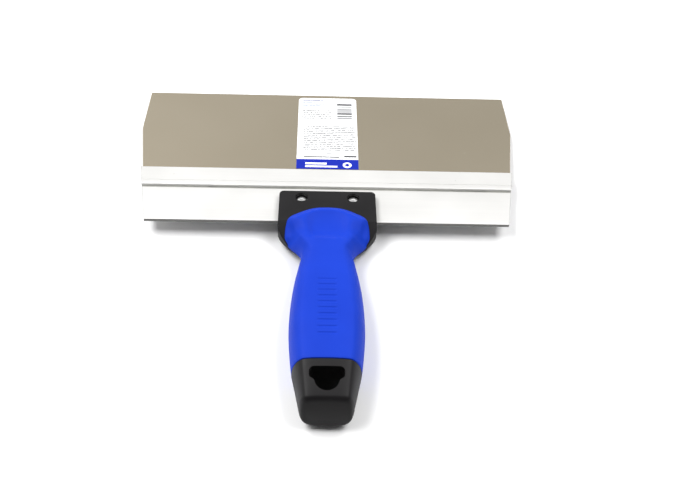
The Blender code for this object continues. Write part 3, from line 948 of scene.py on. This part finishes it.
def make_rail(paint):
    profile = rail_profile()
    inner = [(share, False) for share in stations(-1.0, 1.0, RAIL_RING_SHARE)]
    shares = [(-1.0, True), *inner, (1.0, True)]
    rings = [rail_ring(profile, share, is_end) for share, is_end in shares]
    rail = tube("rail_bar", rings, paint, RAIL_SMOOTH)
    # darker metal on the groove, and on the rear and end faces: painted shade for faces that lie
    # in shade
    rail.data.materials.append(painted_shade_paint("groove_shade", dark=0.48, light=0.66))
    rail.data.materials.append(painted_shade_paint("cut_edge_shade", dark=0.12, light=0.20))
    for face in rail.data.polygons:
        along, rise = in_plane(face.center / MM)
        in_groove = STEP_AT - GROOVE_SHADE_MARGIN < -along < STEP_AT + GROOVE_WIDTH
        if in_groove and rise < GROOVE_SHADE_TOP:
            face.material_index = GROOVE_SHADE_SLOT
        if -along > RAIL_DEPTH - REAR_MARGIN or abs(face.normal.x) > END_NORMAL:
            face.material_index = CUT_EDGE_SHADE_SLOT
    for side in (-1, 1):
        combine(rail, round_cutter("rail_hole", side * RIVET_X, RIVET_HOLE, -RAIL_CUT, RAIL_CUT))
    for x, back in PUNCH_MARKS:
        combine(rail, punch(x, back))
    soften(rail, RAIL_SMOOTH)
    return rail


def punch(x, back):
    """A small cone that leaves a punch mark in the rail's front band."""
    top = LIP_TOP + (FRONT_TOP - LIP_TOP) * back / BAND_START + PUNCH_LIFT
    rings = []
    for radius, rise in PUNCH_CONE:
        outline = circle(x, -back, radius, PUNCH_SIDES)
        rings.append([blade_point(px, py, top + rise) for px, py in outline])
    return tube("punch", rings)


def round_cutter(name, x, radius, low, high):
    """A cylinder square to the blade, on a rivet's line."""
    outline = circle(x, FREE_LENGTH - RIVET_BACK, radius, CUT_SIDES)
    return prism(name, outline, low, high, blade_point)


# ---------------------------------------------------------------- handle


def eased_step(value):
    """Zero to one with soft ends."""
    value = min(max(value, 0.0), 1.0)
    return value * value * (3.0 - 2.0 * value)


def thumb_rest(x, back):
    """Depth of the round thumb rest in the collar's crown."""
    inside = min(max(DISH_R - math.hypot(x, back - DISH_BACK), 0.0), DISH_BANK)
    depth = DISH_SLOPE * inside - DISH_BEND * inside**2
    return depth * fade(abs(x), *DISH_HALF) * fade(back, *DISH_FADE)


def finger_scoop(x, back):
    """Depth of the hollow in each flank of the collar."""
    away = math.hypot(abs(x) - SCOOP_X, back - SCOOP_BACK)
    return SCOOP_DEPTH * fade(away, 0.0, SCOOP_REACH) * fade(abs(x), *SCOOP_HALF)


def rim_facet(x, back):
    """Height of the sloped facet that rises behind the collar's front edge."""
    edge = collar_edge(x)
    foot = RIM_FOOT_SIDE + RIM_FOOT * fade(abs(x), *RIM_HALF)
    return plane_height(edge) + HEAD_TOP + foot + RIM_SLOPE * (back - edge)


def fade(value, start, end):
    """One up to the start, easing to zero at the end."""
    return 1.0 - eased_step((value - start) / (end - start))


def crown_ease(back):
    """How strongly the crown is arched: more over the collar than along the grip."""
    return CROWN_EASE + COLLAR_EASE * fade(abs(back - COLLAR_MIDDLE), *COLLAR_REACH)


def ribs(x, back):
    """Depth of the row of short grip ribs along the crown."""
    nearest = round((back - RIB_FIRST) / RIB_PITCH)
    if not 0 <= nearest < RIBS:
        return 0.0
    off = abs(back - RIB_FIRST - nearest * RIB_PITCH) / RIB_HALF_WIDTH
    end = (abs(x) - RIB_HALF_LENGTH) / RIB_END
    if off >= 1.0 or end >= 1.0:
        return 0.0
    shape = (1.0 - off**2) ** RIB_ROUND
    return RIB_DEPTH * shape * (1.0 - max(end, 0.0) ** 2)


def evenly(outline, count):
    """A closed outline resampled to points an equal distance apart."""
    n = len(outline)
    run = [0.0]
    for k in range(n):
        (x0, z0), (x1, z1) = outline[k], outline[(k + 1) % n]
        run.append(run[-1] + math.hypot(x1 - x0, z1 - z0))
    out = []
    k = 0
    for i in range(count):
        want = run[-1] * i / count
        while run[k + 1] < want:
            k += 1
        u = (want - run[k]) / max(run[k + 1] - run[k], TINY)
        (x0, z0), (x1, z1) = outline[k], outline[(k + 1) % n]
        out.append((x0 + (x1 - x0) * u, z0 + (z1 - z0) * u))
    return out


def section(back, row, inset=0.0, lean=0.0, top_detail=False):
    """One closed section of the handle, as points round its long axis."""
    half, middle, top, bottom, flat, n_top, n_low = row
    half -= inset
    top -= inset
    bottom += inset
    ease = crown_ease(back)
    outline = []
    for k in range(OUTLINE_STEPS):
        a = 2 * math.pi * k / OUTLINE_STEPS
        c, s = math.cos(a), math.sin(a)
        n = n_top if s >= 0 else n_low
        rise = (top - middle) if s >= 0 else (middle - bottom)
        share = min(1.0, abs(c) / ease)
        crown = flat * share * (2.0 - share) if s >= 0 else 0.0
        side = (half - flat if s >= 0 else half) * abs(c) ** (2 / n)
        x = math.copysign(crown + side, c)
        outline.append((x, middle + rise * math.copysign(abs(s) ** (2 / n), s)))
    points = []
    for x, z in evenly(outline, RING_STEPS):
        if top_detail and z > middle:
            z -= thumb_rest(x, back) + finger_scoop(x, back) + ribs(x, back)
            z = min(z, rim_facet(x, back))
        points.append((x, EDGE_Y - back + lean * (z - middle), z))
    return points


def head_outline(grow):
    """Plan outline of the head, grown all round."""
    r = HEAD_CORNER
    front = EDGE_Y - HEAD_FRONT + grow
    half = HEAD_HALF + grow
    right = list(reversed(arc(half - r, front - r, r, 0, 90, HEAD_CORNER_STEPS)))
    rows = [(back, wide + grow) for back, wide in SHOULDER]
    for back in stations(SHOULDER[0][0], SHOULDER[-1][0], SHOULDER_STEP):
        right.append((eased(rows, back)[0], EDGE_Y - back))
    right.append((right[-1][0], right[-1][1] - HEAD_OVERRUN - grow))
    return mirrored(right)


def head_side(grow):
    """Side outline of the head: flange, slanted shoulder, flat underside."""
    rise = grow / math.cos(math.radians(HEAD_SLANT))
    front = EDGE_Y - HEAD_FRONT + HEAD_AHEAD
    rear = EDGE_Y - HEAD_REAR - grow
    slant = grow * SLANT_SHARE
    return [
        (front, HEAD_LOW_FRONT - grow),
        (front, plane_height(HEAD_FRONT - HEAD_AHEAD) + HEAD_TOP + grow),
        (EDGE_Y - SHOULDER_TOP_AT - slant, plane_height(SHOULDER_TOP_AT) + HEAD_TOP + grow),
        (EDGE_Y - SHOULDER_LOW_AT - slant, HEAD_REAR_TOP + SLANT_LIFT + rise),
        (rear, HEAD_REAR_TOP + grow),
        (rear, HEAD_LOW_REAR - grow),
    ]


def make_head(name, grow):
    """The head's block: its plan and its side outline, crossed."""
    head = prism(name, head_outline(grow), 0.0, HIGH)
    side = prism(
        name + "_side", head_side(grow), -FAR_SIDE, FAR_SIDE, lambda y, z, x: (x, y, z)
    )
    combine(head, side, "INTERSECT")
    return head


def make_spine(name, inset):
    """The core's bar inside the sleeve, or with a smaller inset the room for it."""
    rings = []
    for back in stations(SPINE_FRONT, SPINE_REAR, SPINE_STEP):
        half, middle, top, bottom, *_ = eased(SECTIONS, back)
        half = min(half, SPINE_HALF)
        middle = max(middle, SPINE_MIDDLE)
        row = (half, middle, top - SPINE_DROP, bottom + SPINE_LIFT, 0.0, *SPINE_SQUARE)
        rings.append(section(back, row, inset))
    return tube(name, rings)


def hang_hole():
    """Slot with rounded ends and a half-round notch towards the butt."""
    front = EDGE_Y - HOLE_FRONT
    step = EDGE_Y - HOLE_STEP
    r, f = HOLE_CORNER, NOTCH_FILLET
    wide = HOLE_HALF - r
    right = list(reversed(arc(wide, front - r, r, 0, 90, HOLE_CORNER_STEPS)))
    right += list(reversed(arc(wide, step + r, r, -90, 0, HOLE_CORNER_STEPS)))
    reach = math.sqrt((NOTCH_R + f) ** 2 - f**2)
    turn = math.degrees(math.atan2(f, reach))
    right += arc(reach, step - f, f, 90, 180 - turn, FILLET_STEPS)
    right += list(reversed(arc(0.0, step, NOTCH_R, -90, -turn, NOTCH_STEPS)))
    return prism("hang_hole", mirrored(right), BENEATH, HIGH)


def make_core(paint):
    start = JOINT_BACK + JOINT_GAP / 2
    rings = []
    for off, inset in BUTT_LIP:
        rings.append(section(start + off, eased(SECTIONS, start + off), inset))
    for back in stations(start + BUTT_RINGS_FROM, SECTIONS[-1][0], BUTT_STEP):
        rings.append(section(back, eased(SECTIONS, back)))
    for back, *row, lean in BUTT_END:
        rings.append(section(back, row, lean=lean))
    core = tube("core_moulding", rings, paint)
    head = make_head("head_block", 0.0)
    bevel(head, HEAD_ROUND, HEAD_ROUND_STEPS, HEAD_ROUND_ANGLE)
    combine(core, make_spine("spine_bar", WALL + JOINT_GAP), "UNION")
    combine(core, head, "UNION")
    combine(core, web_slot())
    for side in (-1, 1):
        x = side * RIVET_X
        combine(core, round_cutter("rivet_hole", x, RIVET_HOLE, -CUT_REACH, CUT_REACH))
        combine(core, round_cutter("upper_bore", x, COUNTERBORE, SEAT_TOP, CUT_REACH))
        combine(core, round_cutter("lower_bore", x, COUNTERBORE, -CUT_REACH, SEAT_LOW))
    combine(core, hang_hole())
    soften(core, CORE_SMOOTH)
    return core


def web_slot():
    """The slot in the head that the rail's web goes into."""
    front = FREE_LENGTH - HEAD_FRONT + WEB_SLOT_AHEAD
    rear = -RAIL_DEPTH - JOINT_GAP
    outline = [(-WIDE, front), (WIDE, front), (WIDE, rear), (-WIDE, rear)]
    return prism("web_slot", outline, RAIL_LOW - JOINT_GAP, WEB_TOP + JOINT_GAP, blade_point)


def collar_edge(x):
    """How far back the collar's front edge lies at one place across."""
    return eased(COLLAR_EDGE, abs(x))[0]


def grip_places(end):
    """Where the sleeve's rings lie: close together over the collar and on each rib."""
    places = stations(SECTIONS[0][0], RIB_FIRST - RIB_CLEAR, COLLAR_STEP)
    for n in range(RIBS):
        centre = RIB_FIRST + n * RIB_PITCH
        places += [centre + RIB_HALF_WIDTH * share for share in RIB_RINGS]
        places += [centre + RIB_PITCH * share for share in RIB_BETWEEN]
    places += stations(places[-1] + GRIP_STEP, end - GRIP_END_STEP, GRIP_STEP)
    return places


def make_grip(paint):
    end = JOINT_BACK - JOINT_GAP / 2
    rings = []
    for back in grip_places(end):
        rings.append(section(back, eased(SECTIONS, back), top_detail=True))
    for off, inset in GRIP_LIP:
        rings.append(section(end + off, eased(SECTIONS, end + off), inset, top_detail=True))
    grip = tube("grip_sleeve", rings, paint)
    xs = stations(0.0, COLLAR_EDGE[-1][0], COLLAR_EDGE_STEP)
    right = [(x, EDGE_Y - collar_edge(x)) for x in xs]
    right += [(x, EDGE_Y - back) for x, back in COLLAR_SIDES]
    combine(grip, prism("collar_front", mirrored(right), 0.0, HIGH), "INTERSECT")
    combine(grip, make_head("head_room", JOINT_GAP))
    combine(grip, make_spine("spine_room", WALL))
    soften(grip)
    return grip


# ---------------------------------------------------------------- rivets


def make_rivet(name, side, paint):
    """A round-headed rivet, turned about the line square to the blade."""
    profile = [(radius, SEAT_TOP + JOINT_GAP + rise) for radius, rise in RIVET_HEAD]
    profile += [(radius, SEAT_LOW - JOINT_GAP + rise) for radius, rise in RIVET_TAIL]
    rings = []
    for radius, rise in profile:
        outline = circle(side * RIVET_X, FREE_LENGTH - RIVET_BACK, radius, RIVET_SIDES)
        rings.append([blade_point(x, y, rise) for x, y in outline])
    return tube(name, rings, paint, RIVET_SMOOTH)


# ---------------------------------------------------------------- scene


def add_camera():
    data = bpy.data.cameras.new("camera")
    data.lens = LENS
    data.sensor_width = SENSOR
    data.clip_start, data.clip_end = CAMERA_CLIP
    camera = bpy.data.objects.new("camera", data)
    bpy.context.scene.collection.objects.link(camera)
    turn = (
        Matrix.Rotation(math.radians(CAMERA_YAW), 4, "Z")
        @ Matrix.Rotation(math.radians(90.0 - CAMERA_DOWN), 4, "X")
        @ Matrix.Rotation(math.radians(CAMERA_ROLL), 4, "Z")
    )
    camera.matrix_world = Matrix.Translation(Vector(CAMERA_PLACE) * MM) @ turn
    bpy.context.scene.camera = camera


def add_softbox(name, place, power):
    """A large soft light that faces the tool, its long side along it."""
    data = bpy.data.lights.new(name, "AREA")
    data.shape = "RECTANGLE"
    data.size, data.size_y = BOX_SIZE
    data.energy = power
    light = bpy.data.objects.new(name, data)
    bpy.context.scene.collection.objects.link(light)
    back = (Vector(place) - Vector(BOX_AIM)).normalized()
    side = Vector((0.0, 1.0, 0.0)).cross(back).normalized()
    turn = Matrix((side, back.cross(side), back)).transposed().to_4x4()
    light.matrix_world = Matrix.Translation(place) @ turn


def add_world():
    """Soft room light: brighter beyond the tool and on its left."""
    world = bpy.data.worlds.new("room")
    bpy.context.scene.world = world
    world.use_nodes = True
    tree = world.node_tree
    back = tree.nodes["Background"]
    place = tree.nodes.new("ShaderNodeTexCoord")
    split = tree.nodes.new("ShaderNodeSeparateXYZ")
    ramp = tree.nodes.new("ShaderNodeMapRange")
    tree.links.new(place.outputs["Generated"], split.inputs[0])
    tree.links.new(split.outputs[1], ramp.inputs["Value"])
    ramp.interpolation_type = "SMOOTHSTEP"
    ramp.inputs["From Min"].default_value = ROOM_SPAN[0]
    ramp.inputs["From Max"].default_value = ROOM_SPAN[1]
    ramp.inputs["To Min"].default_value = ROOM_NEAR
    ramp.inputs["To Max"].default_value = ROOM_FAR
    back.inputs["Color"].default_value = (1.0, 1.0, 1.0, 1.0)
    across = tree.nodes.new("ShaderNodeMath")
    across.operation = "MULTIPLY_ADD"
    across.inputs[1].default_value = ROOM_SIDE
    across.inputs[2].default_value = 1.0
    tree.links.new(split.outputs[0], across.inputs[0])
    level = tree.nodes.new("ShaderNodeMath")
    level.operation = "MULTIPLY"
    tree.links.new(ramp.outputs["Result"], level.inputs[0])
    tree.links.new(across.outputs[0], level.inputs[1])
    tree.links.new(level.outputs[0], back.inputs["Strength"])


def add_floor(paint):
    rim = circle(0.0, 0.0, FLOOR_RADIUS, FLOOR_SIDES)
    mesh = bpy.data.meshes.new("floor")
    mesh.from_pydata([(x, y, 0.0) for x, y in rim], [], [tuple(range(FLOOR_SIDES))])
    mesh.materials.append(paint)
    floor = bpy.data.objects.new("floor", mesh)
    bpy.context.scene.collection.objects.link(floor)
    floor.location.z = -FLOOR_DROP


def main():
    bpy.context.scene.view_settings.view_transform = "Standard"
    add_camera()
    add_world()
    add_softbox("box_left", (-BOX_OFFSET, BOX_BACK, BOX_HEIGHT), BOX_LEFT_WATTS)
    add_softbox("box_right", (BOX_OFFSET, BOX_BACK, BOX_HEIGHT), BOX_RIGHT_WATTS)
    add_floor(floor_paint())

    blade = make_blade(steel_paint())
    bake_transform(blade)
    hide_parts("blade")
    label = make_label(label_paint())
    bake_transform(label)
    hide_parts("label")

    metal = rivet_paint()
    for made, node, slot in (
        (make_rail(aluminium_paint()), "rail", "rail_aluminium"),
        (make_core(plastic_paint()), "handle_core", "core_plastic"),
        (make_grip(rubber_paint()), "grip", "grip_rubber"),
        (make_rivet("rivet_pin_left", -1, metal), "rivet_left", "rivet_metal"),
        (make_rivet("rivet_pin_right", 1, metal), "rivet_right", "rivet_metal"),
    ):
        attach(made, "handle")
        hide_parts(node)


main()
